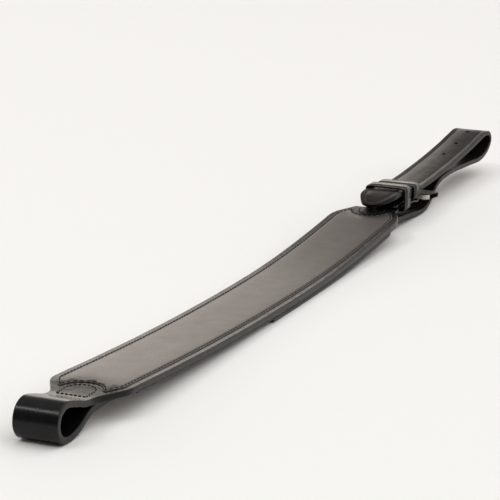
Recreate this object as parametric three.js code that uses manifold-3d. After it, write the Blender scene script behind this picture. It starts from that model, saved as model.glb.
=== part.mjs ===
// Leather martingale strap: a padded panel with a fixed loop at one end and a buckled girth loop at the other.
//
// Millimetres, +Z up, +X from the fixed loop towards the girth loop, +Y across the strap. Inside the file the
// stations along X are counted from the panel's near corner; the outer group moves them so that the origin is
// under the middle of the finished strap, on the surface it lies on.

import * as THREE from 'three';
import { mergeVertices } from 'three/addons/utils/BufferGeometryUtils.js';
import Module from 'manifold-3d';

const wasm = await Module();
wasm.setup();

// ---- Driving dimensions -------------------------------------------------------------------------------------

const PANEL_LENGTH = 374;          // corner to corner, before the ends taper
const PANEL_WIDTH = 46;
const MIDDLE_STATION = 264.42;     // half way between the two loops' outer ends
const STRAP_WIDTH = 25;            // the fixed loop and the panel's narrow ends
const TAPER_LENGTH = 18;           // each end narrows to the strap over this length
const CORNER_ROUNDING = 7;         // the wide corners are rounded over this length on each side
const GAP = 0.3;                   // clearance kept between neighbouring pieces

const BASE_THICKNESS = 3.2;        // the main leather
const LOOP_THICKNESS = 3.7;        // the same leather left full where it makes the fixed loop
const FACING_PROUD = 0.5;          // how far the facing stands above the rim
const FACING_THICKNESS = 1.1;
const FACING_INSET = 3.9;          // width of the bare rim round the facing
const FELT_THICKNESS = 0.6;
const FELT_INSET = 6.5;
const LINING_THICKNESS = 1.0;
const REINFORCEMENT_THICKNESS = 1.8;
const REINFORCEMENT_FROM = 178;
const REINFORCEMENT_TO = 369;

const SEAM_ARC_RADIUS = 13.1;      // the facing's hollow round each strap end
const PATCH_SEAM_RADIUS = 8.4;     // the D-shaped seam inside that hollow
const SEAM_ARC_SETBACK = 11;       // arc centres lie this far outside the panel's corners
const HORN_REACH = 11.6;           // the facing's horns beside the hollows end this far past the corners
const THREAD_RADIUS = 0.35;

const LOOP_CENTRE = new THREE.Vector2(-46.1, 10.75);
const LOOP_RADIUS = 8.85;          // to the middle of the leather
const TONGUE_END = 8;              // the folded tongue is sewn under the panel up to here

const GIRTH_WIDTH = 24.5;
const GIRTH_THICKNESS = 3.0;
const GIRTH_TIP = 380.5;
const TIP_LENGTH = 15;
const HOLE_RADIUS = 1.5;
const HOLE_STATIONS = [520, 545, 570];
const SWING_STATION = 391.9;       // the leather neck that the girth loop swings about
const NECK_GAP = 1.5;              // room for that swing between the sewn ends and the loop

const CHAPE_WIDTH = 22;
const CHAPE_THICKNESS = 1.3;
const CHAPE_SEWN_FROM = 371;
const KEEPER_WALL = 1.2;
const KEEPER_WIDTH = 10.5;

const HEEL_BAR = new THREE.Vector2(440, 13.3);
const BUCKLE_SLOPE = THREE.MathUtils.degToRad(6.6);
const FRAME_LENGTH = 25.5;
const FRAME_HALF_WIDTH = 18.2;
const BAR_WIDTH = 3.6;
const HEEL_HALF = 1.7;
const FRAME_THICKNESS = 2.9;
const BEVEL = 0.7;
const TONGUE_WIDTH = 4;
const TONGUE_SLOT = 6;
const TONGUE_BORE = 2.4;
const TONGUE_RING = 3.7;

// ---- Finishes -----------------------------------------------------------------------------------------------

const finish = (color, roughness, metalness = 0) =>
  new THREE.MeshStandardMaterial({ color, roughness, metalness });
const BRIDLE_LEATHER = () => finish('#1d1c1d', 0.42);
const GRAINED_LEATHER = () => finish('#37322f', 0.5);
const LINING_LEATHER = () => finish('#262526', 0.6);
const FELT = () => finish('#3c3b3d', 0.95);
const WAXED_THREAD = () => finish('#101011', 0.7);
const NICKEL = () => finish('#cfcdc8', 0.18, 1);

// ---- Solids -------------------------------------------------------------------------------------------------

function solid(geometry) {
  geometry.deleteAttribute('normal');
  geometry.deleteAttribute('uv');
  const merged = mergeVertices(geometry, 1e-4);
  return new wasm.Manifold(new wasm.Mesh({
    numProp: 3,
    vertProperties: new Float32Array(merged.attributes.position.array),
    triVerts: new Uint32Array(merged.index.array),
  }));
}

function piece(name, shape, material) {
  const { vertProperties, triVerts } = shape.getMesh();
  const geometry = new THREE.BufferGeometry();
  geometry.setAttribute('position', new THREE.BufferAttribute(vertProperties, 3));
  geometry.setIndex(new THREE.BufferAttribute(triVerts, 1));
  geometry.computeVertexNormals();
  const mesh = new THREE.Mesh(geometry, material);
  mesh.name = name;
  return mesh;
}

// A smooth side-view curve through [station, height] points.
const sideCurve = (points) =>
  new THREE.CatmullRomCurve3(points.map(([x, z]) => new THREE.Vector3(x, z, 0)), false, 'centripetal');

// A leather layer: the band between two distances above a side-view curve, extruded across the strap.
function layer(curve, top, bottom, width, steps, from = 0, to = 1) {
  const upper = [];
  const lower = [];
  for (let i = 0; i <= steps; i += 1) {
    const u = from + ((to - from) * i) / steps;
    const point = curve.getPointAt(u);
    const tangent = curve.getTangentAt(u);
    const normal = new THREE.Vector2(-tangent.y, tangent.x);
    upper.push(new THREE.Vector2(point.x + normal.x * top, point.y + normal.y * top));
    lower.push(new THREE.Vector2(point.x + normal.x * bottom, point.y + normal.y * bottom));
  }
  const outline = new THREE.Shape([...upper, ...lower.reverse()]);
  const geometry = new THREE.ExtrudeGeometry(outline, { depth: width, bevelEnabled: false });
  geometry.rotateX(Math.PI / 2);
  geometry.translate(0, width / 2, 0);
  return solid(geometry);
}

// An upright prism over a plan outline, tall enough to trim any layer.
function planPrism(outline) {
  const geometry = new THREE.ExtrudeGeometry(outline, { depth: 80, bevelEnabled: false, curveSegments: 5 });
  geometry.translate(0, 0, -20);
  return solid(geometry);
}

function box(x0, x1, y0, y1, z0, z1) {
  const geometry = new THREE.BoxGeometry(x1 - x0, y1 - y0, z1 - z0);
  geometry.translate((x0 + x1) / 2, (y0 + y1) / 2, (z0 + z1) / 2);
  return solid(geometry);
}

function upright(x, y, radius, z0, z1, sides) {
  const geometry = new THREE.CylinderGeometry(radius, radius, z1 - z0, sides);
  geometry.rotateX(Math.PI / 2);
  geometry.translate(x, y, (z0 + z1) / 2);
  return solid(geometry);
}

// A sewing thread drawn as one thin cord along a list of points.
function thread(points, steps) {
  const route = new THREE.CatmullRomCurve3(points, false, 'catmullrom', 0);
  const section = new THREE.Shape();
  section.absarc(0, 0, THREAD_RADIUS, 0, Math.PI * 2);
  const geometry = new THREE.ExtrudeGeometry(section, { extrudePath: route, steps, curveSegments: 3 });
  return solid(geometry);
}

// ---- The panel's shape --------------------------------------------------------------------------------------

// Top of the rim seen from the side: the panel sags between its raised ends.
const RIM = sideCurve([
  [-22, 15.5], [-12, 15.1], [0, 15.2], [50, 12.1], [100, 9.4], [155, 7.45], [215, 6.5], [262, 6.9],
  [300, 8.6], [345, 12.0], [377, 15.0], [394, 16.1],
]);

// Position along a curve, 0 to 1, at a station; the curve runs steadily towards +X.
function along(curve, station) {
  let low = 0;
  let high = 1;
  for (let i = 0; i < 40; i += 1) {
    const middle = (low + high) / 2;
    if (curve.getPointAt(middle).x < station) low = middle;
    else high = middle;
  }
  return (low + high) / 2;
}

const rimHeight = (station) => RIM.getPointAt(along(RIM, station)).y;

function panelLayer(top, bottom, from, to, steps = 44) {
  return layer(RIM, top, bottom, PANEL_WIDTH + 2, steps, along(RIM, from), along(RIM, to));
}

// How far a corner of the taper moves along X for each millimetre of inset.
const TAPER_SLANT = Math.atan2((PANEL_WIDTH - STRAP_WIDTH) / 2, TAPER_LENGTH);
const CORNER_SHIFT = Math.tan(TAPER_SLANT / 2);

// The panel's plan, moved inwards by an inset; the narrow ends run on to the given stations.
function panelPlan(inset, nearEnd, farEnd) {
  const side = PANEL_WIDTH / 2 - inset;
  const end = STRAP_WIDTH / 2 - inset * 0.4;
  const reach = (side - end) / Math.tan(TAPER_SLANT);
  const corner = inset * CORNER_SHIFT;
  const slantX = CORNER_ROUNDING * Math.cos(TAPER_SLANT);
  const slantY = CORNER_ROUNDING * Math.sin(TAPER_SLANT);
  const far = PANEL_LENGTH - corner;
  const outline = new THREE.Shape();
  outline.moveTo(nearEnd, end);
  for (const sign of [1, -1]) {
    const xs = [corner - reach, corner - slantX, corner, corner + CORNER_ROUNDING];
    const run = sign > 0 ? xs : xs.map((x) => PANEL_LENGTH - x);
    outline.lineTo(run[0], sign * end);
    outline.lineTo(run[1], sign * (side - slantY));
    outline.quadraticCurveTo(run[2], sign * side, run[3], sign * side);
    const back = sign > 0 ? [far - CORNER_ROUNDING, far, far + slantX, far + reach]
      : [corner + CORNER_ROUNDING, corner, corner - slantX, corner - reach];
    outline.lineTo(back[0], sign * side);
    outline.quadraticCurveTo(back[1], sign * side, back[2], sign * (side - slantY));
    outline.lineTo(back[3], sign * end);
    if (sign > 0) {
      outline.lineTo(farEnd, end);
      outline.lineTo(farEnd, -end);
    }
  }
  outline.lineTo(nearEnd, -end);
  return outline;
}

const ARC_CENTRES = [-SEAM_ARC_SETBACK, PANEL_LENGTH + SEAM_ARC_SETBACK];

// The plan of the facing: the panel's plan, inset, with a round hollow and two blunt horns at each end.
function facingPlan(inset, hollowRadius) {
  const horns = HORN_REACH - inset * 0.5;
  const prism = planPrism(panelPlan(inset, -20, PANEL_LENGTH + 20))
    .intersect(box(-horns, PANEL_LENGTH + horns, -30, 30, -20, 60));
  return ARC_CENTRES.reduce(
    (shape, x) => shape.subtract(upright(x, 0, hollowRadius, -30, 70, 36)), prism);
}

// ---- The panel's pieces -------------------------------------------------------------------------------------

// One leather makes the panel's body and, narrowed and folded back, the fixed loop at its near end.
function baseLeather() {
  const body = panelLayer(0, -BASE_THICKNESS, -20, 390.5)
    .intersect(planPrism(panelPlan(0, -22, 390.5)));
  const recess = panelLayer(5, FACING_PROUD - FACING_THICKNESS - FELT_THICKNESS - 2 * GAP, -20, 392)
    .intersect(facingPlan(FACING_INSET - GAP, SEAM_ARC_RADIUS - 0.9 - GAP));
  const turn = [];
  for (let i = 0; i <= 4; i += 1) {
    const angle = -Math.PI / 2 - (Math.PI * i) / 4;
    turn.push([
      LOOP_CENTRE.x + LOOP_RADIUS * Math.cos(angle),
      LOOP_CENTRE.y + LOOP_RADIUS * Math.sin(angle),
    ]);
  }
  const fold = sideCurve([
    [TONGUE_END, 9.45], [-4, 9.75], [-13, 9.7], [-19.5, 9.4], [-26, 7.2], [-34, 3.6],
    ...turn, [-35, 17.2], [-27, 14.6], [-19.5, 13.4], [-8, 13.2],
  ]);
  const half = LOOP_THICKNESS / 2;
  const tongue = layer(fold, half, -half, STRAP_WIDTH, 64);
  const innerEnd = LOOP_CENTRE.x - LOOP_RADIUS + half;
  const ringSeat = box(innerEnd - 0.25, innerEnd + 6, -20, 20, LOOP_CENTRE.y - 2, LOOP_CENTRE.y + 2);
  return piece('base_leather', body.add(tongue).subtract(recess).subtract(ringSeat), BRIDLE_LEATHER());
}

function facingLeather() {
  const sheet = panelLayer(FACING_PROUD, FACING_PROUD - FACING_THICKNESS, -20, 392);
  const outline = facingPlan(FACING_INSET, SEAM_ARC_RADIUS - 0.9);
  return piece('facing_leather', sheet.intersect(outline), GRAINED_LEATHER());
}

function panelFelt() {
  const top = FACING_PROUD - FACING_THICKNESS - GAP;
  const sheet = panelLayer(top, top - FELT_THICKNESS, -20, 392);
  const outline = facingPlan(FELT_INSET, SEAM_ARC_RADIUS + 2);
  return piece('panel_felt', sheet.intersect(outline), FELT());
}

const LINING_TOP = -BASE_THICKNESS - GAP;
const LINING_BOTTOM = LINING_TOP - LINING_THICKNESS;

function panelLining() {
  const sheet = panelLayer(LINING_TOP, LINING_BOTTOM, TONGUE_END + 0.6, 389);
  return piece('panel_lining', sheet.intersect(planPrism(panelPlan(0.4, -12, 389))), LINING_LEATHER());
}

// A second layer under the panel's belly, square at one end and rounded at the other; it rests on its flat middle.
function bellyReinforcement() {
  const top = LINING_BOTTOM - GAP;
  const side = PANEL_WIDTH / 2 - 0.4;
  const round = 9;
  const outline = new THREE.Shape();
  outline.moveTo(REINFORCEMENT_FROM, -side);
  outline.lineTo(REINFORCEMENT_TO - round, -side);
  outline.absarc(REINFORCEMENT_TO - round, -side + round, round, -Math.PI / 2, 0);
  outline.absarc(REINFORCEMENT_TO - round, side - round, round, 0, Math.PI / 2);
  outline.lineTo(REINFORCEMENT_FROM, side);
  const sheet = panelLayer(top, top - REINFORCEMENT_THICKNESS, REINFORCEMENT_FROM - 2, REINFORCEMENT_TO + 2, 28);
  const aboveFloor = box(REINFORCEMENT_FROM - 5, REINFORCEMENT_TO + 5, -30, 30, 0, 30);
  return piece('belly_reinforcement',
    sheet.intersect(planPrism(outline)).intersect(aboveFloor), LINING_LEATHER());
}

// ---- The sewing ---------------------------------------------------------------------------------------------

const seamPoint = (x, y, lift) => new THREE.Vector3(x, y, rimHeight(x) + lift + GAP + THREAD_RADIUS);

// Angle on the hollow's arc at which the seam along the taper meets it.
function hollowAngle(inset) {
  const corner = new THREE.Vector2(inset * CORNER_SHIFT + SEAM_ARC_SETBACK, PANEL_WIDTH / 2 - inset);
  const run = new THREE.Vector2(-Math.cos(TAPER_SLANT), -Math.sin(TAPER_SLANT));
  const b = corner.dot(run);
  const travel = -b - Math.sqrt(b * b - corner.lengthSq() + SEAM_ARC_RADIUS ** 2);
  return corner.addScaledVector(run, travel).angle();
}

// The facing's seam runs all the way round, just inside its edge.
function facingSeam() {
  const inset = FACING_INSET + 0.9;
  const side = PANEL_WIDTH / 2 - inset;
  const corner = inset * CORNER_SHIFT;
  const start = hollowAngle(inset);
  const plan = [];
  for (let i = 0; i <= 10; i += 1) {
    const angle = -start + (2 * start * i) / 10;
    plan.push([-SEAM_ARC_SETBACK + SEAM_ARC_RADIUS * Math.cos(angle), SEAM_ARC_RADIUS * Math.sin(angle)]);
  }
  const run = [];
  for (let x = corner; x < PANEL_LENGTH / 2; x += 18) run.push([x, side]);
  const nearHalf = [...plan, ...run];
  const farHalf = nearHalf.map(([x, y]) => [PANEL_LENGTH - x, -y]).map(([x, y]) => [x, -y]).reverse();
  const back = run.map(([x, y]) => [PANEL_LENGTH - x, -y]);
  const home = run.map(([x, y]) => [x, -y]).reverse();
  const route = [...nearHalf, ...farHalf, ...back, ...home];
  const points = route.map(([x, y]) => seamPoint(x, y, FACING_PROUD));
  const last = plan[0];
  points.push(seamPoint(last[0] + 1.2, last[1] - 1.2, FACING_PROUD));
  return piece('facing_seam', thread(points, 170), WAXED_THREAD());
}

// A D-shaped seam that holds a strap end under the panel.
function patchSeam(name, centre, direction, reach) {
  const plan = [[centre - direction * reach, PATCH_SEAM_RADIUS]];
  for (let i = 0; i <= 8; i += 1) {
    const angle = Math.PI / 2 - (Math.PI * i) / 8;
    plan.push([
      centre + direction * PATCH_SEAM_RADIUS * Math.cos(angle), PATCH_SEAM_RADIUS * Math.sin(angle),
    ]);
  }
  plan.push([centre - direction * reach, -PATCH_SEAM_RADIUS]);
  return piece(name, thread(plan.map(([x, y]) => seamPoint(x, y, 0)), 36), WAXED_THREAD());
}

// ---- The girth loop -----------------------------------------------------------------------------------------

// The ends of the girth strap and of the chape that are sewn under the panel, up to the neck.
function sewnEnd(name, from, top, thickness, width, material) {
  const sheet = layer(RIM, top, top - thickness, width, 6,
    along(RIM, from), along(RIM, SWING_STATION - NECK_GAP / 2));
  return piece(name, sheet, material);
}

const CHAPE_TOP = LINING_BOTTOM - GAP;
const STRAP_TOP = CHAPE_TOP - CHAPE_THICKNESS - GAP;

// The strap dips to the floor, rises, turns round the girth and comes back over the buckle to its tip.
const GIRTH_ROUTE = sideCurve([
  [SWING_STATION + NECK_GAP / 2, 7.7], [400, 6.7], [412, 5.5], [428, 3.9], [440, 2.3], [448, 2.0], [455, 3.1],
  [462, 6.0], [469, 10.6], [476, 14.3], [484, 16.0], [499, 16.7], [511, 16.4], [523, 15.6], [541, 14.4],
  [561, 13.1], [571, 14.3], [579.5, 17.2], [584.7, 22.4], [582, 27.0], [575, 28.8], [560, 27.3], [545, 25.3],
  [520, 22.7], [499, 21.0], [484, 20.1], [470, 19.3], [450, 18.7], [440, 19.0], [428, 20.3], [417, 21.8],
  [407, 22.6], [397, 22.3], [388, 20.9], [GIRTH_TIP, 19.1],
]);

function tipPlan() {
  const half = GIRTH_WIDTH / 2 + 1;
  const outline = new THREE.Shape();
  outline.moveTo(600, -half);
  outline.lineTo(600, half);
  outline.lineTo(GIRTH_TIP + TIP_LENGTH, half);
  outline.bezierCurveTo(
    GIRTH_TIP + 5, half, GIRTH_TIP, 6, GIRTH_TIP, 0);
  outline.bezierCurveTo(
    GIRTH_TIP, -6, GIRTH_TIP + 5, -half, GIRTH_TIP + TIP_LENGTH, -half);
  return outline;
}

function girthStrap() {
  const half = GIRTH_THICKNESS / 2;
  const ribbon = layer(GIRTH_ROUTE, half, -half, GIRTH_WIDTH, 110).intersect(planPrism(tipPlan()));
  const girthSeat = box(570, 583.45, -20, 20, 20.4, 24.4);
  const punched = HOLE_STATIONS.reduce(
    (strap, x) => strap.subtract(upright(x, 0, HOLE_RADIUS, 20, 34, 16)), ribbon.subtract(girthSeat));
  return piece('girth_strap', punched, BRIDLE_LEATHER());
}

// The chape is folded round the buckle's heel bar, with a slot for the tongue.
function buckleChape() {
  const reach = TONGUE_BORE + CHAPE_THICKNESS / 2;
  const fold = [];
  for (let i = 0; i <= 4; i += 1) {
    const angle = -Math.PI / 2 + (Math.PI * i) / 4;
    fold.push([HEEL_BAR.x + reach * Math.cos(angle), HEEL_BAR.y + reach * Math.sin(angle)]);
  }
  const route = sideCurve([
    [SWING_STATION + NECK_GAP / 2, 10.8], [400, 12.0], [408, 12.9], [418, 12.9], [426, 12.3], [434, 11.4],
    ...fold, [434, 16.8], [426, 16.9], [412, 16.0], [399, 15.0],
  ]);
  const ply = layer(route, CHAPE_THICKNESS / 2, -CHAPE_THICKNESS / 2, CHAPE_WIDTH, 64);
  const slot = box(435.8, 446, -TONGUE_SLOT / 2, TONGUE_SLOT / 2, 5, 20);
  return piece('buckle_chape', ply.subtract(slot), BRIDLE_LEATHER());
}

function chapeSeam(name, y) {
  const points = [401, 406, 411, 416, 421, 424].map(
    (x) => new THREE.Vector3(x, y, 15.15 + (x - 399) * 0.074 + CHAPE_THICKNESS / 2 + GAP + THREAD_RADIUS));
  return piece(name, thread(points, 6), WAXED_THREAD());
}

// A keeper is a flat leather band sewn into a loop round the chape and the strap's end.
function keeper(name, from, bottom, top) {
  const halfWidth = GIRTH_WIDTH / 2 + 0.4;
  const rounded = (half, low, high, radius) => {
    const outline = new THREE.Shape();
    outline.moveTo(-half + radius, low);
    outline.lineTo(half - radius, low);
    outline.absarc(half - radius, low + radius, radius, -Math.PI / 2, 0);
    outline.absarc(half - radius, high - radius, radius, 0, Math.PI / 2);
    outline.absarc(-half + radius, high - radius, radius, Math.PI / 2, Math.PI);
    outline.absarc(-half + radius, low + radius, radius, Math.PI, Math.PI * 1.5);
    return outline;
  };
  const wall = rounded(halfWidth + KEEPER_WALL, bottom - KEEPER_WALL, top + KEEPER_WALL, 2.2);
  wall.holes.push(rounded(halfWidth, bottom, top, 0.7));
  const geometry = new THREE.ExtrudeGeometry(wall, { depth: KEEPER_WIDTH, bevelEnabled: false, curveSegments: 5 });
  geometry.rotateX(Math.PI / 2);
  geometry.rotateZ(Math.PI / 2);
  geometry.translate(from, 0, 0);
  return piece(name, solid(geometry), BRIDLE_LEATHER());
}

// The butt seam that closes a keeper, under its lower wall.
function keeperSeam(name, from, bottom) {
  const z = bottom - KEEPER_WALL - GAP - THREAD_RADIUS;
  const points = [1.2, KEEPER_WIDTH / 2, KEEPER_WIDTH - 1.2].map((x) => new THREE.Vector3(from + x, 0, z));
  return piece(name, thread(points, 4), WAXED_THREAD());
}

// ---- The buckle, drawn flat with its heel bar on the Y axis --------------------------------------------------

function rectangle(x0, x1, halfWidth, radius) {
  const outline = new THREE.Shape();
  outline.moveTo(x0 + radius, -halfWidth);
  outline.lineTo(x1 - radius, -halfWidth);
  outline.absarc(x1 - radius, -halfWidth + radius, radius, -Math.PI / 2, 0);
  outline.absarc(x1 - radius, halfWidth - radius, radius, 0, Math.PI / 2);
  outline.absarc(x0 + radius, halfWidth - radius, radius, Math.PI / 2, Math.PI);
  outline.absarc(x0 + radius, -halfWidth + radius, radius, Math.PI, Math.PI * 1.5);
  return outline;
}

function buckleFrame() {
  const outline = rectangle(-HEEL_HALF, FRAME_LENGTH - HEEL_HALF, FRAME_HALF_WIDTH, 3.2);
  outline.holes.push(
    rectangle(HEEL_HALF, FRAME_LENGTH - HEEL_HALF - BAR_WIDTH, FRAME_HALF_WIDTH - BAR_WIDTH, 1.5));
  const geometry = new THREE.ExtrudeGeometry(outline, {
    depth: FRAME_THICKNESS - 2 * BEVEL,
    bevelThickness: BEVEL,
    bevelSize: BEVEL,
    bevelOffset: -BEVEL,
    bevelSegments: 2,
    curveSegments: 5,
  });
  geometry.translate(0, 0, BEVEL - FRAME_THICKNESS / 2);
  return piece('buckle_frame', solid(geometry), NICKEL());
}

// The tongue is a ring round the heel bar with a shank that lies on the front bar.
function buckleTongue() {
  const underside = FRAME_THICKNESS / 2 + GAP;
  const length = FRAME_LENGTH - 1.2;
  const outline = new THREE.Shape();
  outline.moveTo(length, underside);
  outline.lineTo(length + 0.9, underside + 0.5);
  outline.lineTo(length + 0.3, TONGUE_RING - 0.4);
  outline.lineTo(length - 1.5, TONGUE_RING);
  outline.lineTo(0, TONGUE_RING);
  outline.absarc(0, 0, TONGUE_RING, Math.PI / 2, Math.PI * 2 + Math.asin(underside / TONGUE_RING));
  const bore = new THREE.Path();
  bore.absarc(0, 0, TONGUE_BORE, 0, Math.PI * 2);
  outline.holes.push(bore);
  const geometry = new THREE.ExtrudeGeometry(outline, { depth: TONGUE_WIDTH, bevelEnabled: false, curveSegments: 14 });
  geometry.rotateX(Math.PI / 2);
  geometry.translate(0, TONGUE_WIDTH / 2, 0);
  return piece('buckle_tongue', solid(geometry), NICKEL());
}

// ---- Assembly -----------------------------------------------------------------------------------------------

// The fixed keeper is held between the chape's two plies; the running keeper goes round both.
const FIXED_KEEPER = { from: 425.5, bottom: 15.3, top: 22.7 };
const RUNNING_KEEPER = { from: 408.5, bottom: 11.4, top: 24.6 };

const panel = new THREE.Group();
panel.add(
  baseLeather(),
  facingLeather(),
  panelFelt(),
  panelLining(),
  bellyReinforcement(),
  facingSeam(),
  patchSeam('fixed_loop_seam', -SEAM_ARC_SETBACK, 1, 9),
  patchSeam('girth_end_seam', PANEL_LENGTH + SEAM_ARC_SETBACK, -1, 1.6),
  sewnEnd('chape_sewn_end', CHAPE_SEWN_FROM, CHAPE_TOP, CHAPE_THICKNESS, CHAPE_WIDTH, BRIDLE_LEATHER()),
  sewnEnd('girth_strap_sewn_end', CHAPE_SEWN_FROM, STRAP_TOP, GIRTH_THICKNESS, GIRTH_WIDTH, BRIDLE_LEATHER()),
);

const girthLoop = new THREE.Group();
girthLoop.add(
  girthStrap(),
  buckleChape(),
  chapeSeam('chape_seam_left', CHAPE_WIDTH / 2 - 2.5),
  chapeSeam('chape_seam_right', -CHAPE_WIDTH / 2 + 2.5),
  keeper('fixed_keeper', FIXED_KEEPER.from, FIXED_KEEPER.bottom, FIXED_KEEPER.top),
  keeperSeam('fixed_keeper_seam', FIXED_KEEPER.from, FIXED_KEEPER.bottom),
  keeper('running_keeper', RUNNING_KEEPER.from, RUNNING_KEEPER.bottom, RUNNING_KEEPER.top),
  keeperSeam('running_keeper_seam', RUNNING_KEEPER.from, RUNNING_KEEPER.bottom),
);

const buckle = new THREE.Group();
buckle.add(buckleFrame(), buckleTongue());
buckle.position.set(HEEL_BAR.x, 0, HEEL_BAR.y);
buckle.rotation.y = BUCKLE_SLOPE;

const martingale = new THREE.Group();
martingale.add(panel, girthLoop, buckle);
martingale.position.set(-MIDDLE_STATION, 0, 0);

export default martingale;
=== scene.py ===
# %% [markdown]
# # A leather martingale strap
# Every piece below is made as a saddler makes it: cut flat, edged, creased and punched, then bent to the
# line that it lies along in use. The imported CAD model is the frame: it says where each piece goes and what
# it moves with.

# %% Load the frame
import math

import bmesh
import bpy
import numpy as np
from mathutils import Matrix, Vector


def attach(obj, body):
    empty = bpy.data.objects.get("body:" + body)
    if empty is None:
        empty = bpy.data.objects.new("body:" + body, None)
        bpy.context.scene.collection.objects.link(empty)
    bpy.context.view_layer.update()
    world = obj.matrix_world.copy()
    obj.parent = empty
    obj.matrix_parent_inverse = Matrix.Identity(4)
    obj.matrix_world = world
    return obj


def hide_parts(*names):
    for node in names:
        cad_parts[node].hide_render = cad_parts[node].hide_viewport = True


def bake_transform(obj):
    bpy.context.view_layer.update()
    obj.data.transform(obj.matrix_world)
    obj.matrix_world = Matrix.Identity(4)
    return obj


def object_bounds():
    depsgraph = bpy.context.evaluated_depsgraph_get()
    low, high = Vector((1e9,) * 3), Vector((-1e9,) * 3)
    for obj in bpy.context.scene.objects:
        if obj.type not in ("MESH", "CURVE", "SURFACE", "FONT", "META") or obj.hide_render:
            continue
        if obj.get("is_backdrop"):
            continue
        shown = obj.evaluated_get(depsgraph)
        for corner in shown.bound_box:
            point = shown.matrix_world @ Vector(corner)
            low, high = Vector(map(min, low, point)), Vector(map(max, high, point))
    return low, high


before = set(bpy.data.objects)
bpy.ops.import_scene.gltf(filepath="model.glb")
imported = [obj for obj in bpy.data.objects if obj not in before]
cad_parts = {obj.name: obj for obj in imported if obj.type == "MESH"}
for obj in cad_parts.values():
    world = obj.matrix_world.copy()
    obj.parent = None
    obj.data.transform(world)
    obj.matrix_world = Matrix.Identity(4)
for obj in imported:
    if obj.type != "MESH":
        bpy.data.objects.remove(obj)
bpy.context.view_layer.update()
scene = bpy.context.scene
MM = 0.001
MIDDLE_STATION = 264.42

# %% [markdown]
# ## Camera
# A long lens from a low place near the fixed loop looks down the strap. It is placed by the point on the
# floor that it aims at, its distance from there, and its two angles, which is how a photographer would note
# it down.

# %% Camera
AIM = Vector((51.5, 54.7, 0)) * MM
DISTANCE = 1507.5 * MM
YAW = math.radians(24.348)
PITCH = math.radians(15.249)

forward = Vector((math.cos(PITCH) * math.cos(YAW), math.cos(PITCH) * math.sin(YAW), -math.sin(PITCH)))
camera_data = bpy.data.cameras.new("camera")
camera_data.lens = 172.8
camera_data.sensor_width = 36
camera_data.clip_start = 0.05
camera = bpy.data.objects.new("camera", camera_data)
camera.location = AIM - forward * DISTANCE
camera.rotation_euler = forward.to_track_quat("-Z", "Y").to_euler()
scene.collection.objects.link(camera)
scene.camera = camera
print("camera at", [round(v, 3) for v in camera.location])

# %% [markdown]
# ## Materials
# Each finish is built from nodes. One helper adds a node, sets it and links it. Colours are written as the
# sRGB codes that an eye would pick, and one function turns them to the linear values that the renderer
# needs.

# %% Node and colour helpers
def linear(code):
    channels = [int(code[i:i + 2], 16) / 255 for i in (1, 3, 5)]
    return tuple(c / 12.92 if c <= 0.04045 else ((c + 0.055) / 1.055) ** 2.4 for c in channels) + (1.0,)


def add(tree, kind, settings=(), links=()):
    """Adds a node; settings name its properties or inputs, and links feed sockets into inputs."""
    node = tree.nodes.new(kind)
    for name, value in dict(settings).items():
        if hasattr(node, name):
            setattr(node, name, value)
        else:
            node.inputs[name].default_value = value
    for name, socket in dict(links).items():
        tree.links.new(socket, node.inputs[name])
    return node


def surface(name, settings):
    """A new material with its Principled shader set, its node tree and the object's own coordinates."""
    material = bpy.data.materials.new(name)
    material.use_nodes = True
    tree = material.node_tree
    shader = tree.nodes["Principled BSDF"]
    for socket, value in settings.items():
        shader.inputs[socket].default_value = value
    place = add(tree, "ShaderNodeTexCoord").outputs["Object"]
    return material, tree, shader, place


def per_mm(size):
    """Texture scale, in cycles per metre, for a feature of this size in millimetres."""
    return 1 / (size * MM)


# %% [markdown]
# ### Bridle leather
# The body, straps, chape and keepers are bridle leather: vegetable-tanned cow hide, curried with wax and
# tallow, dyed black and burnished. It gives a deep, nearly black body colour under a satin sheen that is a
# little uneven, because the hide is softly lumpy and the wax lies thicker in some places. Its pores are
# about 0.3 mm, too fine to show from here, so they are drawn at 0.9 mm.

# %% Bridle leather
def bridle_leather(name, dark, light, roughness, relief, polish):
    """Two body colours, a roughness, how deep the lumps and pores are, and how strongly the wax reflects."""
    material, tree, shader, place = surface(name, {"IOR": 1.33, "Specular IOR Level": polish})
    patches = add(tree, "ShaderNodeTexNoise", {"Scale": per_mm(14), "Detail": 4}, {"Vector": place})
    colour = add(tree, "ShaderNodeMix", {"data_type": "RGBA"}, {"Factor": patches.outputs["Fac"]})
    colour.inputs[6].default_value = linear(dark)
    colour.inputs[7].default_value = linear(light)
    tree.links.new(colour.outputs[2], shader.inputs["Base Color"])
    wax = add(tree, "ShaderNodeTexNoise", {"Scale": per_mm(5), "Detail": 3}, {"Vector": place})
    gloss = add(tree, "ShaderNodeMapRange", {"To Min": roughness - 0.07, "To Max": roughness + 0.1},
                {"Value": wax.outputs["Fac"]})
    tree.links.new(gloss.outputs["Result"], shader.inputs["Roughness"])
    lumps = add(tree, "ShaderNodeTexNoise", {"Scale": per_mm(7), "Detail": 2}, {"Vector": place})
    pores = add(tree, "ShaderNodeTexVoronoi", {"Scale": per_mm(0.9)}, {"Vector": place})
    soft = add(tree, "ShaderNodeBump", {"Strength": 0.6, "Distance": 0.25 * MM * relief},
               {"Height": lumps.outputs["Fac"]})
    fine = add(tree, "ShaderNodeBump", {"Strength": 0.35, "Distance": 0.06 * MM * relief},
               {"Height": pores.outputs["Distance"], "Normal": soft.outputs["Normal"]})
    tree.links.new(fine.outputs["Normal"], shader.inputs["Normal"])
    return material


body_leather = bridle_leather("black bridle leather, burnished", "#0a0a0b", "#131213", 0.24, 1.0, 0.45)
strap_leather = bridle_leather("black bridle leather, brown undertone", "#0f0d0d", "#1a1614",
                               0.35, 1.2, 0.25)
print("made", body_leather.name, "and", strap_leather.name)

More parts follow.
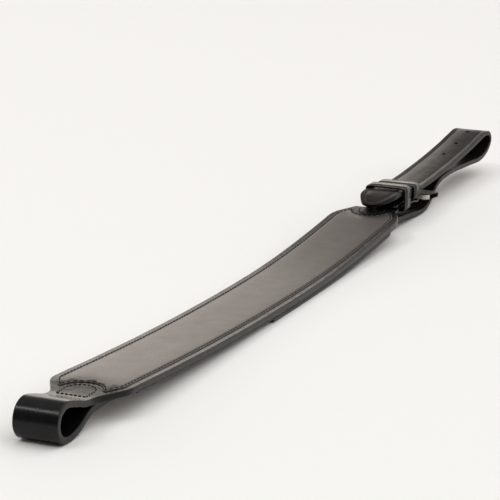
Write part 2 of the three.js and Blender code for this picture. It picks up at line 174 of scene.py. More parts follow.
# %% [markdown]
# ### Grained facing leather
# The facing is a thinner hide with a fine crossed grain pressed into it by a heated plate. The crossing
# lines scatter the light, so it looks lighter and browner than the rim round it, and a thin clear top coat
# adds to its sheen. The lines are really about 0.6 mm apart; they are drawn at 1.3 mm so that they show.

# %% Grained facing leather
def grained_leather():
    material, tree, shader, place = surface("grained facing leather, plate-pressed", {
        "IOR": 1.47, "Coat Weight": 0.45, "Coat Roughness": 0.22, "Coat IOR": 1.4})
    patches = add(tree, "ShaderNodeTexNoise", {"Scale": per_mm(20), "Detail": 5}, {"Vector": place})
    colour = add(tree, "ShaderNodeMix", {"data_type": "RGBA"}, {"Factor": patches.outputs["Fac"]})
    colour.inputs[6].default_value = linear("#2c2522")
    colour.inputs[7].default_value = linear("#3d342f")
    tree.links.new(colour.outputs[2], shader.inputs["Base Color"])
    wear = add(tree, "ShaderNodeTexNoise", {"Scale": per_mm(9), "Detail": 3}, {"Vector": place})
    gloss = add(tree, "ShaderNodeMapRange", {"To Min": 0.42, "To Max": 0.56}, {"Value": wear.outputs["Fac"]})
    tree.links.new(gloss.outputs["Result"], shader.inputs["Roughness"])
    lines = []
    for angle in (68, -62):
        turned = add(tree, "ShaderNodeMapping", {"Rotation": (0, 0, math.radians(angle))}, {"Vector": place})
        lines.append(add(tree, "ShaderNodeTexWave", {
            "Scale": per_mm(1.3) / 20 * math.pi, "Distortion": 3.0, "Detail": 2, "Detail Scale": 1.6,
        }, {"Vector": turned.outputs["Vector"]}))
    crossed = add(tree, "ShaderNodeMath", {"operation": "MULTIPLY"})
    for wave, socket in zip(lines, crossed.inputs):
        tree.links.new(wave.outputs["Fac"], socket)
    pebble = add(tree, "ShaderNodeTexNoise", {"Scale": per_mm(1.1), "Detail": 3}, {"Vector": place})
    pressed = add(tree, "ShaderNodeBump", {"Strength": 0.5, "Distance": 0.1 * MM},
                  {"Height": crossed.outputs["Value"]})
    grain = add(tree, "ShaderNodeBump", {"Strength": 0.5, "Distance": 0.1 * MM},
                {"Height": pebble.outputs["Fac"], "Normal": pressed.outputs["Normal"]})
    tree.links.new(grain.outputs["Normal"], shader.inputs["Normal"])
    tree.links.new(grain.outputs["Normal"], shader.inputs["Coat Normal"])
    return material


facing_finish = grained_leather()
print("made", facing_finish.name)

# %% [markdown]
# ### Lining leather, felt, thread and nickel
# The lining is a soft, matt, drum-dyed hide. The padding under the facing is pressed wool felt. The thread
# is linen, twisted and drawn through black wax. The buckle is brass plated with nickel and softly polished:
# warm white, with a blurred shine.

# %% Lining leather, felt, thread and nickel
def plain_finish(name, colour, roughness, feature, depth, extra=()):
    """A finish of one colour; noise of the given size and depth in millimetres breaks up its surface."""
    material, tree, shader, place = surface(name, {"Base Color": linear(colour), **dict(extra)})
    texture = add(tree, "ShaderNodeTexNoise", {"Scale": per_mm(feature), "Detail": 4}, {"Vector": place})
    gloss = add(tree, "ShaderNodeMapRange", {"To Min": roughness * 0.85, "To Max": roughness * 1.15},
                {"Value": texture.outputs["Fac"]})
    tree.links.new(gloss.outputs["Result"], shader.inputs["Roughness"])
    bump = add(tree, "ShaderNodeBump", {"Strength": 0.6, "Distance": depth * MM},
               {"Height": texture.outputs["Fac"]})
    tree.links.new(bump.outputs["Normal"], shader.inputs["Normal"])
    return material


lining_finish = plain_finish("soft lining leather, drum-dyed", "#242324", 0.55, 1.4, 0.12)
felt_finish = plain_finish("pressed wool felt", "#3c3b3d", 0.85, 0.5, 0.3, {"Sheen Weight": 0.5})
thread_finish = plain_finish("waxed linen thread", "#0b0b0c", 0.6, 0.3, 0.05, {"Specular IOR Level": 0.2})
nickel_finish = plain_finish("polished nickel plate", "#e4e1da", 0.38, 0.8, 0.004, {"Metallic": 1.0})
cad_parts["panel_felt"].data.materials.clear()
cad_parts["panel_felt"].data.materials.append(felt_finish)
print("made", lining_finish.name, felt_finish.name, thread_finish.name, nickel_finish.name, sep="; ")

# %% [markdown]
# ## The lines that the leather follows
# A strap on a table is a flat piece bent along a line in side view. A few heights taken along it are enough
# for that line: a centripetal Catmull-Rom curve passes through them without overshooting. The points are
# the frame's own, so the leather lies where the CAD says.

# %% Side-view lines
class Line:
    """A smooth line through given (station, height) points in millimetres, measured by its length."""

    def __init__(self, points, samples=24):
        p = [np.array(point, float) for point in points]
        p = [2 * p[0] - p[1], *p, 2 * p[-1] - p[-2]]
        run = []
        for a, b, c, d in zip(p, p[1:], p[2:], p[3:]):
            t1 = math.dist(a, b) ** 0.5
            t2 = t1 + math.dist(b, c) ** 0.5
            t3 = t2 + math.dist(c, d) ** 0.5
            for t in np.linspace(t1, t2, samples, endpoint=False):
                ab = a + (b - a) * t / t1
                bc = b + (c - b) * (t - t1) / (t2 - t1)
                cd = c + (d - c) * (t - t2) / (t3 - t2)
                early = ab + (bc - ab) * t / t2
                late = bc + (cd - bc) * (t - t1) / (t3 - t1)
                run.append(early + (late - early) * (t - t1) / (t2 - t1))
        run.append(p[-2])
        self.x, self.z = np.array(run).T
        self.marks = np.concatenate([[0], np.cumsum(np.hypot(np.diff(self.x), np.diff(self.z)))])
        self.length = self.marks[-1]

    def at(self, distance, side):
        """Points at these distances along the line, moved to its right by side."""
        step = 0.4
        x, z = (np.interp(distance, self.marks, values) for values in (self.x, self.z))
        ahead, behind = ([np.interp(place, self.marks, values) for values in (self.x, self.z)]
                         for place in (distance + step, distance - step))
        dx, dz = ahead[0] - behind[0], ahead[1] - behind[1]
        size = np.hypot(dx, dz)
        return x + dz / size * side, z - dx / size * side

    def distance_to(self, station, after=0.0):
        """How far along the line it first passes a station, past a given distance."""
        side = self.x - station
        for i in range(1, len(side)):
            if self.marks[i] > after and side[i - 1] * side[i] <= 0:
                return self.marks[i]
        raise ValueError(f"the line doesn't pass station {station}")


def arc(centre, radius, first, last, steps):
    """Points on a circle between two angles in degrees."""
    angles = np.radians(np.linspace(first, last, steps + 1))
    return [(centre[0] + radius * math.cos(a), centre[1] + radius * math.sin(a)) for a in angles]


RIM = Line([
    (-22, 15.5), (-12, 15.1), (0, 15.2), (50, 12.1), (100, 9.4), (155, 7.45), (215, 6.5), (262, 6.9),
    (300, 8.6), (345, 12.0), (377, 15.0), (394, 16.1),
])


def rim_height(station):
    return np.interp(station, RIM.x, RIM.z)


print("the rim line is", round(RIM.length, 1), "mm long")

# %% [markdown]
# ## Cutting leather flat
# A flat piece starts as one face through its outline. Extruding gives it thickness, a bevel rounds the cut
# edges as an edge shave does, and insets press the crease lines. Cross-cuts with bisect_plane let it bend
# afterwards. Bending is the last step: each vertex keeps its place across the strap and its height above
# the line.

# %% Outlines and flat pieces
def rounded(corners, steps=6):
    """A closed outline through (x, y, reach) corners, each rounded over its reach along both sides."""
    outline = []
    spots = [Vector(corner[:2]) for corner in corners]
    for i, (here, corner) in enumerate(zip(spots, corners)):
        before, after, reach = spots[i - 1], spots[(i + 1) % len(spots)], corner[2]
        if reach == 0:
            outline.append(here)
            continue
        start = here + (before - here).normalized() * reach
        end = here + (after - here).normalized() * reach
        for t in np.linspace(0, 1, steps + 1):
            outline.append(start * (1 - t) ** 2 + here * 2 * t * (1 - t) + end * t * t)
    return outline


def vertices_of(geometry):
    return [part for part in geometry if isinstance(part, bmesh.types.BMVert)]


def flat_piece(outline, thickness, edge, creases=(), hold=0.3):
    """A sheet with its grain side at height 0 and rounded edges; creases are (distance, width, depth)."""
    bm = bmesh.new()
    face = bm.faces.new([bm.verts.new((x, y, 0)) for x, y in outline])
    new = bmesh.ops.extrude_face_region(bm, geom=[face])["geom"]
    bmesh.ops.translate(bm, verts=vertices_of(new), vec=(0, 0, -thickness))
    bmesh.ops.recalc_face_normals(bm, faces=bm.faces)
    around = [e for e in bm.edges if abs(e.verts[0].co.z - e.verts[1].co.z) < 1e-9]
    bmesh.ops.bevel(bm, geom=around, offset=edge, segments=3, profile=0.5, affect="EDGES", material=-1,
                    clamp_overlap=True)
    bm.normal_update()
    flats = sorted(bm.faces, key=lambda f: -f.calc_area())[:2]
    for flat in flats:
        bmesh.ops.inset_region(bm, faces=[flat], thickness=hold, use_boundary=True)
    grain = max(flats, key=lambda f: f.normal.z)
    for distance, width, depth in creases:
        for thick, sink in ((distance, 0), (width / 2, -depth), (width / 2, depth)):
            bmesh.ops.inset_region(bm, faces=[grain], thickness=thick, depth=sink, use_boundary=True)
    return bm


def cross_cut(bm, places, normal=(1, 0, 0)):
    """Cuts a flat piece across at each place, so that it can bend there."""
    for place in places:
        everything = bm.verts[:] + bm.edges[:] + bm.faces[:]
        bmesh.ops.bisect_plane(bm, geom=everything, dist=1e-5,
                               plane_co=Vector(normal) * place, plane_no=normal)


def lay(bm, place):
    """Moves each vertex from its flat place to where place() says, from millimetres to metres."""
    flat = np.array([v.co for v in bm.verts])
    laid = np.column_stack(place(*flat.T)) - (MIDDLE_STATION, 0, 0)
    for vertex, spot in zip(bm.verts, laid):
        vertex.co = spot * MM


def carve(bm, tool):
    """Cuts the solid tool out of bm with a Boolean modifier, and frees the tool."""
    meshes = []
    for source in (bm, tool):
        mesh = bpy.data.meshes.new("carving")
        source.to_mesh(mesh)
        meshes.append(bpy.data.objects.new("carving", mesh))
        scene.collection.objects.link(meshes[-1])
    cut = meshes[0].modifiers.new("cut", "BOOLEAN")
    cut.operation = "DIFFERENCE"
    cut.solver = "EXACT"
    cut.object = meshes[1]
    bpy.context.view_layer.update()
    result = meshes[0].evaluated_get(bpy.context.evaluated_depsgraph_get()).to_mesh()
    bm.clear()
    bm.from_mesh(result)
    tool.free()
    for temporary in meshes:
        bpy.data.objects.remove(temporary)


def block(low, high):
    """A box between two corners."""
    bm = bmesh.new()
    bmesh.ops.create_cube(bm, size=1)
    low, high = Vector(low), Vector(high)
    bmesh.ops.scale(bm, vec=high - low, verts=bm.verts)
    bmesh.ops.translate(bm, vec=(low + high) / 2, verts=bm.verts)
    return bm


def finish_piece(name, bm, material, nodes, body=None, sharp=48):
    """Makes the object, rides it on its body, and hides the CAD nodes that it stands for."""
    mesh = bpy.data.meshes.new(name)
    for face in bm.faces:
        face.smooth = True
    bm.to_mesh(mesh)
    bm.free()
    mesh.set_sharp_from_angle(angle=math.radians(sharp))
    mesh.materials.append(material)
    piece = bpy.data.objects.new(name, mesh)
    scene.collection.objects.link(piece)
    if body:
        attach(piece, body)
    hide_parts(*nodes)
    print(name, len(mesh.polygons), "faces")
    return piece


# %% [markdown]
# ## The panel's plan
# The panel is 46 mm wide and tapers at both ends to the 25 mm strap. The same outline, moved inwards, gives
# the lining and the facing; the facing also has a round hollow at each end, where the strap ends are sewn
# in.

# %% The panel's plan
PANEL_LENGTH = 374
PANEL_WIDTH = 46
STRAP_WIDTH = 25
TAPER_LENGTH = 18
TAPER = math.atan2((PANEL_WIDTH - STRAP_WIDTH) / 2, TAPER_LENGTH)
ARC_SETBACK = 11
FACING_INSET = 3.9
SEAM_INSET = 0.9
HOLLOW_RADIUS = 12.2


def mirrored(half):
    """Closes an outline whose +Y side is given, by repeating it on the other side."""
    return half + [(x, -y, *more) for x, y, *more in reversed(half)]


def panel_outline(inset, near_end, far_end):
    """The panel's outline; its far end is cut on the taper, its near end there or past the corner."""
    side = PANEL_WIDTH / 2 - inset
    end = STRAP_WIDTH / 2 - inset * 0.4
    corner = inset * math.tan(TAPER / 2)
    foot = corner - (side - end) / math.tan(TAPER)
    far_corner = PANEL_LENGTH - corner
    near = [(near_end, side, 0.6)]
    if near_end <= corner:
        near = [(near_end, end, 0.6), (foot, end, 5), (corner, side, 5)]
    cut = side - (far_end - far_corner) * math.tan(TAPER)
    return rounded(mirrored([*near, (far_corner, side, 7), (far_end, cut, 0.6)]))


def facing_outline(inset, hollow, horn, rounding):
    """The facing's outline; its horns beside the hollows reach this far past the panel's corners."""
    side = PANEL_WIDTH / 2 - inset
    corner = inset * math.tan(TAPER / 2)
    tip = side - (corner + horn) * math.tan(TAPER)
    sweep = math.degrees(math.acos((ARC_SETBACK - horn) / hollow))
    near = arc((-ARC_SETBACK, 0), hollow, 0, sweep, 12)
    return rounded(mirrored([
        *[(x, y, 0) for x, y in near[:-1]],
        (*near[-1], rounding), (-horn, tip, rounding), (corner, side, 2.5),
        (PANEL_LENGTH - corner, side, 4.5), (PANEL_LENGTH + horn, tip, rounding),
        (PANEL_LENGTH - near[-1][0], near[-1][1], rounding),
        *[(PANEL_LENGTH - x, y, 0) for x, y in reversed(near[:-1])],
    ])[:-1])


def on_panel(x, y, height):
    """Lays a flat piece on the panel's line: height counts from the rim's top."""
    return x, y, rim_height(x) + height


print("the panel tapers at", round(math.degrees(TAPER), 1), "degrees")

# %% [markdown]
# ## Base leather and fixed loop
# One long piece of 3.2 mm leather is the panel's body and, narrowed to 25 mm and left at its full 3.7 mm,
# turns over into the fixed loop and back under the panel, where it is sewn. It is cut flat here with its
# tongue unrolled, the bed for the facing is skived out of it, and then it is bent, panel and loop in one.

# %% Base leather and fixed loop
BASE_THICKNESS = 3.2
LOOP_THICKNESS = 3.7
LOOP_CENTRE = (-46.1, 10.75)
LOOP_RADIUS = 8.85
BED_DEPTH = 1.8
FOLD = Line([
    (50, 10.5), (0, 13.6), (-10, 13.45), (-19.5, 13.5), (-27, 14.65), (-35, 17.2),
    *arc(LOOP_CENTRE, LOOP_RADIUS, 90, 270, 4),
    (-34, 3.6), (-26, 7.2), (-19.5, 9.45), (-13, 9.75), (-4, 9.75), (8, 9.45),
])
fold_start = FOLD.distance_to(0)
tongue_end = fold_start - FOLD.length


def on_base(x, y, height):
    """The panel lies on its own line; what is cut past station 0 rolls round the loop."""
    half = BASE_THICKNESS / 2
    fuller = 1 + (LOOP_THICKNESS / BASE_THICKNESS - 1) * np.clip(-x / 16, 0, 1)
    loop_x, loop_z = FOLD.at(fold_start - x, (height + half) * fuller)
    rolled = x < 0
    return np.where(rolled, loop_x, x), y, np.where(rolled, loop_z, rim_height(x) + height)


base = flat_piece(panel_outline(0, tongue_end, 390.5), BASE_THICKNESS, 0.75)
bed = flat_piece(facing_outline(FACING_INSET - 0.3, HOLLOW_RADIUS - 0.3, 9.0, 0.8), 10, 0.05)
bmesh.ops.translate(bed, vec=(0, 0, 10 - BED_DEPTH), verts=bed.verts)
carve(base, bed)
cross_cut(base, [*np.arange(tongue_end + 1, 0, 1.0), *np.arange(0, 390, 5)])
lay(base, on_base)
finish_piece("base_leather_piece", base, body_leather, ["base_leather"], "panel")

# %% [markdown]
# ## Facing
# The facing is 1.1 mm leather over felt, so it stands a little proud of the rim and is crowned across. Its
# seam pulls a narrow channel just inside its edge.

# %% Facing
FACING_PROUD = 0.5
CROWN = 0.45


def on_facing(x, y, height):
    across = np.clip(np.abs(y) / (PANEL_WIDTH / 2 - FACING_INSET - 1.6), 0, 1)
    from_end = np.minimum(np.hypot(x + ARC_SETBACK, y), np.hypot(x - PANEL_LENGTH - ARC_SETBACK, y))
    ease = np.clip((from_end - HOLLOW_RADIUS - 1.6) / 9, 0, 1)
    padding = CROWN * (1 - across ** 4) * ease * (2 - ease)
    return on_panel(x, y, height + FACING_PROUD + padding)


facing = flat_piece(facing_outline(FACING_INSET, HOLLOW_RADIUS, 8.6, 0.6), 1.1, 0.25,
                    creases=[(0.25, 0.7, 0.3)], hold=0.15)
cross_cut(facing, np.arange(-10, 386, 4))
cross_cut(facing, np.arange(-16, 17, 4), normal=(0, 1, 0))
lay(facing, on_facing)
finish_piece("facing_leather_piece", facing, facing_finish, ["facing_leather"], "panel")

# %% [markdown]
# ## Lining and belly reinforcement
# Under the base lies a 1 mm lining, and under the middle and far part a second, thicker layer takes the
# wear. It lies flat on the table where the panel sags, so its underside is pressed to the table's height
# there.

# %% Lining and belly reinforcement
PLY_GAP = 0.3
LINING_THICKNESS = 1.0
REINFORCEMENT_THICKNESS = 1.8
LINING_TOP = -BASE_THICKNESS - PLY_GAP
REINFORCEMENT_TOP = LINING_TOP - LINING_THICKNESS - PLY_GAP


def pressed(x, y, height):
    x, y, z = on_panel(x, y, height)
    return x, y, np.maximum(z, 0.0)


lining = flat_piece(panel_outline(0.4, 8.6, 389), LINING_THICKNESS, 0.4)
cross_cut(lining, np.arange(10, 389, 5))
lay(lining, lambda x, y, height: on_panel(x, y, height + LINING_TOP))
finish_piece("panel_lining_piece", lining, lining_finish, ["panel_lining"], "panel")

reach = PANEL_WIDTH / 2 - 0.4
belly = flat_piece(rounded([(178, -reach, 1), (369, -reach, 12), (369, reach, 12), (178, reach, 1)]),
                   REINFORCEMENT_THICKNESS, 0.7)
cross_cut(belly, np.arange(180, 369, 5))
lay(belly, lambda x, y, height: pressed(x, y, height + REINFORCEMENT_TOP))
finish_piece("belly_reinforcement_piece", belly, lining_finish,
             ["belly_reinforcement"], "panel")

# %% [markdown]
# ## Sewing
# The seams are lockstitch in thick waxed linen: each stitch is a short bead of thread, slanted a little
# because the awl's slits are slanted. A row is made by walking along its line and setting one low bead per
# pitch.

# %% Stitch rows
def stitches(bm, path, pitch, radius, slant=7.0, fill=0.8):
    """Beads along a list of 3-D points in millimetres."""
    points = np.array(path, float)
    marks = np.concatenate([[0], np.cumsum(np.linalg.norm(np.diff(points, axis=0), axis=1))])
    count = max(1, round(marks[-1] / pitch))
    step = marks[-1] / count
    turn = Matrix.Rotation(math.radians(slant), 3, "Z")
    for i in range(count):
        ends = [Vector([np.interp((i + 0.5 + s * fill / 2) * step, marks, axis) for axis in points.T])
                for s in (-1, 1)]
        run = turn @ (ends[1] - ends[0])
        middle = (ends[0] + ends[1]) / 2 - Vector((MIDDLE_STATION, 0, 0))
        spot = Matrix.Translation(middle * MM) @ run.to_track_quat("Z", "Y").to_matrix().to_4x4()
        size = Matrix.Diagonal((radius * MM, radius * MM, run.length / 2 * MM, 1))
        bmesh.ops.create_uvsphere(bm, u_segments=8, v_segments=5, radius=1, matrix=spot @ size)


def densely(plan, closed=False):
    """Plan points no more than 2 mm apart."""
    loop = plan + plan[:1] if closed else plan
    dense = []
    for a, b in zip(loop, loop[1:]):
        count = max(1, math.ceil(math.dist(a, b) / 2))
        dense += [(a[0] + (b[0] - a[0]) * i / count, a[1] + (b[1] - a[1]) * i / count) for i in range(count)]
    return dense + [loop[-1]]


def panel_row(bm, plan, height, pitch, radius, closed=False, floor=0.0):
    dense = np.array([tuple(p) for p in densely([tuple(p) for p in plan], closed)])
    rows = rim_height(dense[:, 0]) + height
    stitches(bm, np.column_stack([dense, np.maximum(rows, floor)]), pitch, radius)


# %% [markdown]
# The facing's seam runs all the way round it and shows on the underside too: on the lining, and on the
# reinforcement where that covers the lining.

# %% The facing's seam and the strap ends' seams
STITCH_PITCH = 3.4
THREAD_RADIUS = 0.46
seam_plan = facing_outline(FACING_INSET + SEAM_INSET, HOLLOW_RADIUS + SEAM_INSET, 8.1, 0.3)
seam = bmesh.new()
panel_row(seam, seam_plan, FACING_PROUD - 0.02, STITCH_PITCH, THREAD_RADIUS, closed=True)
under = [p for p in densely([tuple(p) for p in seam_plan]) if 12 < p[0] < 174]
for side in (1, -1):
    row = sorted(p for p in under if p[1] * side > 0)
    panel_row(seam, row, LINING_TOP - LINING_THICKNESS, STITCH_PITCH, THREAD_RADIUS)
    belly_row = [(x, side * (PANEL_WIDTH / 2 - FACING_INSET - SEAM_INSET)) for x in (182, 356)]
    panel_row(seam, belly_row, REINFORCEMENT_TOP - REINFORCEMENT_THICKNESS + 0.2,
              STITCH_PITCH, THREAD_RADIUS, floor=THREAD_RADIUS)
finish_piece("facing_seam_stitches", seam, thread_finish, ["facing_seam"], "panel")

PATCH_RADIUS = 8.4
PATCH_PITCH = 2.4
PATCH_THREAD_RADIUS = 0.34
for name, centre, toward, tail in (
    ("fixed_loop_seam", -ARC_SETBACK, 1, 9), ("girth_end_seam", PANEL_LENGTH + ARC_SETBACK, -1, 1.6),
):
    bow = [(centre + toward * x, y) for x, y in arc((0, 0), PATCH_RADIUS, 90, -90, 12)]
    tails = [(centre - toward * tail, PATCH_RADIUS), (centre - toward * tail, -PATCH_RADIUS)]
    patch = bmesh.new()
    panel_row(patch, [tails[0], *bow, tails[1]], 0.08, PATCH_PITCH, PATCH_THREAD_RADIUS,
              closed=toward > 0)
    finish_piece(name + "_stitches", patch, thread_finish, [name], "panel")

# %% [markdown]
# ## Girth strap
# The girth strap is one piece of 3 mm leather. Its plain end is sewn under the panel; it dips to the table,
# rises, turns round the girth and comes back over the buckle, through the keepers, to its pointed tip.
# Three holes are punched 25 mm apart, and a hot iron has pressed a crease line along both edges. It crosses
# the joint at the panel's end, and it rides on neither body.

# %% Girth strap
GIRTH_WIDTH = 24.5
GIRTH_THICKNESS = 3.0
GIRTH = Line([
    (371, 6.5), (381, 7.4), (391, 7.95), (400, 6.7), (412, 5.5), (428, 3.9), (440, 2.3), (448, 2.0),
    (455, 3.1), (462, 6.0), (469, 10.6), (476, 14.3), (484, 16.0), (499, 16.7), (511, 16.4), (523, 15.6),
    (541, 14.4), (561, 13.1), (571, 14.3), (579.5, 17.2), (584.7, 22.4), (582, 27.0), (575, 28.8),
    (560, 27.3), (545, 25.3), (520, 22.7), (499, 21.0), (484, 20.1), (470, 19.3), (450, 18.7),
    (440, 19.0), (428, 20.3), (417, 21.8), (407, 22.6), (397, 22.3), (388, 20.9), (380.5, 19.1),
])
turn_back = GIRTH.distance_to(584)
tip = GIRTH.length
half = GIRTH_WIDTH / 2


def on_girth(x, y, height):
    """Lays the flat strap along its line; it is skived thinner towards its tip."""
    thinner = 1 - 0.3 * np.clip((x - tip + 22) / 22, 0, 1)
    line_x, line_z = GIRTH.at(x, (height + GIRTH_THICKNESS / 2) * thinner)
    return line_x, y, line_z


girth = flat_piece(rounded([
    (0, -half, 0.5), (tip - 14, -half, 6), (tip - 2, -6, 3.5), (tip, 0, 2.4), (tip - 2, 6, 3.5),
    (tip - 14, half, 6), (0, half, 0.5),
]), GIRTH_THICKNESS, 0.8, creases=[(2.4, 0.9, 0.28)])
for station in (520, 545, 570):
    punch = bmesh.new()
    bmesh.ops.create_cone(punch, cap_ends=True, segments=20, radius1=1.5, radius2=1.5, depth=12,
                          matrix=Matrix.Translation((GIRTH.distance_to(station, after=turn_back), 0, 0)))
    carve(girth, punch)
cross_cut(girth, np.arange(1, tip - 0.5, 1.6))
lay(girth, on_girth)
girth_piece = finish_piece("girth_strap_piece", girth, strap_leather,
                           ["girth_strap", "girth_strap_sewn_end"])


def in_frame(station, height):
    """A side-view point in millimetres as a place in the frame."""
    return Vector((station - MIDDLE_STATION, 0, height)) * MM


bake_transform(girth_piece)

# %% [markdown]
# ## Chape
# The chape is thinner leather, folded round the buckle's heel bar with a slot for the tongue. Its lower ply
# runs on under the panel and is sewn there with the girth strap; two rows of stitches close the fold.

# %% Chape
CHAPE_WIDTH = 22
CHAPE_THICKNESS = 1.3
HEEL_BAR = (440, 13.3)
CHAPE = Line([
    (371, 8.9), (381, 9.8), (391, 10.6), (400, 12.0), (408, 12.9), (418, 12.9), (426, 12.3), (434, 11.4),
    *arc(HEEL_BAR, 3.05, -90, 90, 4), (434, 16.8), (426, 16.9), (412, 16.0), (399, 15.0),
])
half = CHAPE_WIDTH / 2


def on_chape(x, y, height):
    line_x, line_z = CHAPE.at(x, height + CHAPE_THICKNESS / 2)
    return line_x, y, line_z


chape = flat_piece(rounded([
    (0, -half, 0.5), (CHAPE.length, -half, 4), (CHAPE.length, half, 4), (0, half, 0.5),
]), CHAPE_THICKNESS, 0.4)
cross_cut(chape, np.arange(1, CHAPE.length, 1.0))
lay(chape, on_chape)
slot_low = in_frame(435.8, 5) - Vector((0, 3 * MM, 0))
slot_high = in_frame(446, 20) + Vector((0, 3 * MM, 0))
carve(chape, block(slot_low, slot_high))
chape_piece = finish_piece("buckle_chape_piece", chape, body_leather,
                           ["buckle_chape", "chape_sewn_end"])
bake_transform(chape_piece)

for name, y in (("chape_seam_left", half - 2.5), ("chape_seam_right", 2.5 - half)):
    rows = bmesh.new()
    stitches(rows, [(401, y, 15.95), (412, y, 16.7), (424, y, 17.6)], 3.2, 0.36)
    stitches(rows, [(401, y, 11.5), (408, y, 12.35), (418, y, 12.55), (424, y, 12.3)], 3.2, 0.36)
    finish_piece(name + "_stitches", rows, thread_finish, [name], "girth_loop")

# %% [markdown]
# ## Keepers
# A keeper is a short band bent into a loop round the straps, its ends butted and sewn underneath. One is
# held between the chape's two plies, and one runs free. Each is cut flat with a crease along both edges and
# bent round its own line, drawn in end view.

# %% Keepers
KEEPER_WIDTH = 10.5
KEEPER_WALL = 1.2


def keeper(name, body, start, bottom, top):
    wide = GIRTH_WIDTH / 2 + 0.4 + KEEPER_WALL / 2
    low, high = bottom - KEEPER_WALL / 2, top + KEEPER_WALL / 2
    bend = 2.0
    side = [(0, low), (-wide + bend, low), (-wide + 0.4, low + 0.5), (-wide, low + bend),
            (-wide, high - bend), (-wide + 0.4, high - 0.5), (-wide + bend, high), (0, high + 0.1)]
    band = Line([*side, *[(-y, z) for y, z in reversed(side[:-1])]])
    bm = flat_piece(rounded([
        (0.08, 0, 0.4), (band.length - 0.08, 0, 0.4),
        (band.length - 0.08, KEEPER_WIDTH, 0.4), (0.08, KEEPER_WIDTH, 0.4),
    ], 2), KEEPER_WALL, 0.35, creases=[(1.0, 0.6, 0.18)], hold=0.2)
    cross_cut(bm, np.arange(0.6, band.length, 0.7))

    def wrap(along, across, height):
        y, z = band.at(along, -(height + KEEPER_WALL / 2))
        return start + across, y, z

    lay(bm, wrap)
    bmesh.ops.recalc_face_normals(bm, faces=bm.faces)
    finish_piece(name + "_piece", bm, body_leather, [name], body)
    sewing = bmesh.new()
    below = bottom - KEEPER_WALL - 0.05
    for i in range(4):
        x = start + 1.6 + i * (KEEPER_WIDTH - 3.2) / 3
        stitches(sewing, [(x, -1.3, below), (x, 1.3, below)], 2.6, 0.32)
    finish_piece(name + "_seam_stitches", sewing, thread_finish, [name + "_seam"], body)


keeper("fixed_keeper", "girth_loop", 425.5, 15.3, 22.7)
keeper("running_keeper", "running_keeper", 408.5, 11.4, 24.6)

# %% [markdown]
# ## Buckle
# The buckle is cast brass, tumbled smooth and nickel plated. The frame is one rectangle with its middle cut
# out and its edges rounded well over; it is drawn flat round its heel bar and then tipped to its slope.

# %% Buckle
BUCKLE_SLOPE = math.radians(6.6)
FRAME_LENGTH = 25.5
FRAME_HALF_WIDTH = 18.2
BAR = 3.5
HEEL_HALF = 1.7
FRAME_THICKNESS = 2.9


def tip_to_slope(bm):
    """Turns a piece drawn round the origin to the buckle's slope, and sets it on the heel bar."""
    bmesh.ops.recalc_face_normals(bm, faces=bm.faces)
    sloped = Matrix.Rotation(BUCKLE_SLOPE, 4, "Y") @ Matrix.Scale(MM, 4)
    bmesh.ops.transform(bm, matrix=Matrix.Translation(in_frame(*HEEL_BAR)) @ sloped, verts=bm.verts)


low, high = -HEEL_HALF, FRAME_LENGTH - HEEL_HALF
bm = bmesh.new()
outline = rounded([(low, -FRAME_HALF_WIDTH, 4.5), (high, -FRAME_HALF_WIDTH, 4.5),
                   (high, FRAME_HALF_WIDTH, 4.5), (low, FRAME_HALF_WIDTH, 4.5)], 8)
face = bm.faces.new([bm.verts.new((x, y, FRAME_THICKNESS / 2)) for x, y in outline])
bmesh.ops.inset_region(bm, faces=[face], thickness=BAR, use_even_offset=True, use_boundary=True)
bmesh.ops.delete(bm, geom=[face], context="FACES")
new = bmesh.ops.extrude_face_region(bm, geom=bm.faces[:])["geom"]
bmesh.ops.translate(bm, verts=vertices_of(new), vec=(0, 0, -FRAME_THICKNESS))
bmesh.ops.recalc_face_normals(bm, faces=bm.faces)
edges = [e for e in bm.edges if e.calc_face_angle(0) > 1 and abs(e.verts[0].co.z - e.verts[1].co.z) < 1e-6]
bmesh.ops.bevel(bm, geom=edges, offset=1.15, segments=5, profile=0.5, affect="EDGES", material=-1)
tip_to_slope(bm)
finish_piece("buckle_frame_piece", bm, nickel_finish, ["buckle_frame"], "buckle_frame", sharp=60)

TONGUE_WIDTH = 4
TONGUE_RING = 3.7
TONGUE_BORE = 2.4
underside = FRAME_THICKNESS / 2 + 0.3
length = FRAME_LENGTH - 1.2
meet = math.degrees(math.asin(underside / TONGUE_RING))
profile = [(length, underside), (length + 0.9, underside + 0.5), (length + 0.3, TONGUE_RING - 0.4),
           (length - 1.5, TONGUE_RING), *arc((0, 0), TONGUE_RING, 90, 360 + meet, 24)]
bore = arc((0, 0), TONGUE_BORE, 0, 345, 23)
bm = bmesh.new()
rims = []
for loop in (profile, bore):
    corners = [bm.verts.new((x, -TONGUE_WIDTH / 2, z)) for x, z in loop]
    rims += [bm.edges.new((a, b)) for a, b in zip(corners, corners[1:] + corners[:1])]
filled = bmesh.ops.triangle_fill(bm, edges=rims, use_beauty=True)["geom"]
sheet = [f for f in filled if isinstance(f, bmesh.types.BMFace)]
new = bmesh.ops.extrude_face_region(bm, geom=sheet)["geom"]
bmesh.ops.translate(bm, verts=vertices_of(new), vec=(0, TONGUE_WIDTH, 0))
bmesh.ops.recalc_face_normals(bm, faces=bm.faces)
edges = [e for e in bm.edges if e.calc_face_angle(0) > 1 and abs(e.verts[0].co.y - e.verts[1].co.y) < 1e-6]
bmesh.ops.bevel(bm, geom=edges, offset=0.45, segments=3, profile=0.5, affect="EDGES", material=-1)
for v in bm.verts:
    v.co.y *= 1 - 0.35 * min(1, max(0, (v.co.x - 4) / length))
tip_to_slope(bm)
finish_piece("buckle_tongue_piece", bm, nickel_finish, ["buckle_tongue"], "buckle_tongue")

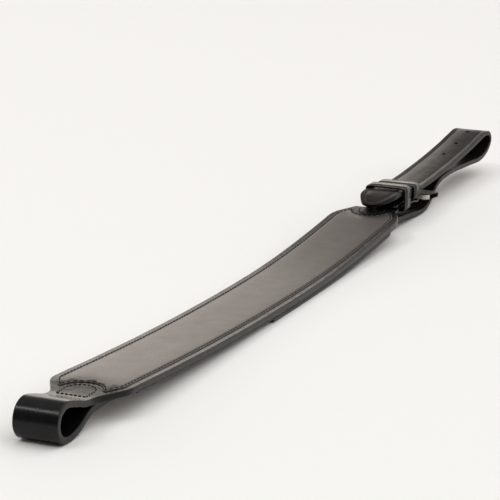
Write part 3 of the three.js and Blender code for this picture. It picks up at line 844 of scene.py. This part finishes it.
# %% [markdown]
# ## Floor and light
# The strap lies on a white table in a studio. Behind it, low down, stands a warm white backdrop that skims
# the leather with a broad sheen and ends about 20 degrees above the table, so leather that tips toward the
# camera looks darker. A soft ceiling lights everything from the right, and one long softbox high on the
# near left draws the bright line along the loops. The camera's own side stays dark.

# %% Floor
bm = bmesh.new()
bmesh.ops.create_grid(bm, x_segments=1, y_segments=1, size=6)
floor_mesh = bpy.data.meshes.new("table")
bm.to_mesh(floor_mesh)
bm.free()
floor = bpy.data.objects.new("table", floor_mesh)
scene.collection.objects.link(floor)
table_finish, tree, shader, place = surface("white table", {
    "Base Color": linear("#f1f1f0"), "Roughness": 0.7})
floor_mesh.materials.append(table_finish)
floor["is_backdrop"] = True

# %% Light
scene.view_settings.view_transform = "Standard"
world = bpy.data.worlds.new("studio")
scene.world = world
world.use_nodes = True
tree = world.node_tree
studio = tree.nodes["Background"]
direction = add(tree, "ShaderNodeTexCoord").outputs["Generated"]


def toward(bearing, elevation):
    """How nearly a direction points to this bearing and elevation in degrees, as a cosine."""
    node = add(tree, "ShaderNodeVectorMath", {"operation": "DOT_PRODUCT"}, {0: direction})
    level = math.cos(math.radians(elevation))
    bearing = math.radians(bearing)
    node.inputs[1].default_value = (level * math.cos(bearing), level * math.sin(bearing),
                                    math.sin(math.radians(elevation)))
    return node.outputs["Value"]


def ramp(value, first, last, at_first, at_last):
    return add(tree, "ShaderNodeMapRange", {
        "interpolation_type": "SMOOTHSTEP", "From Min": first, "From Max": last,
        "To Min": at_first, "To Max": at_last}, {"Value": value}).outputs["Result"]


height = toward(0, 90)
backdrop = add(tree, "ShaderNodeMath", {"operation": "MULTIPLY"}, {
    0: ramp(toward(40, 0), -0.1, 0.5, 0.0, 1.75), 1: ramp(height, 0.25, 0.41, 1.0, 0.1)}).outputs["Value"]
ceiling = ramp(toward(-70, 62), 0.5, 0.85, 0.1, 1.5)
tree.links.new(add(tree, "ShaderNodeMath", {"operation": "ADD"}, {0: backdrop, 1: ceiling}).outputs["Value"],
               studio.inputs["Strength"])
tint = add(tree, "ShaderNodeMix", {"data_type": "RGBA"}, {"Factor": ramp(height, 0.3, 0.55, 0.0, 1.0)})
tint.inputs[6].default_value = linear("#fff5eb")
tint.inputs[7].default_value = linear("#fffefc")
tree.links.new(tint.outputs[2], studio.inputs["Color"])

key = bpy.data.lights.new("softbox", "AREA")
key.shape = "RECTANGLE"
key.size = 2.2
key.size_y = 0.3
key.energy = 40
key_object = bpy.data.objects.new("softbox", key)
KEY_DIRECTION = Vector((-0.477, 0.397, 0.784))
KEY_DISTANCE = 4.5
key_from = KEY_DIRECTION * KEY_DISTANCE
key_object.location = key_from
key_object.rotation_euler = (-key_from).to_track_quat("-Z", "Y").to_euler()
scene.collection.objects.link(key_object)
print("one softbox, a backdrop and a soft ceiling")

# %% Finish
low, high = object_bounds()
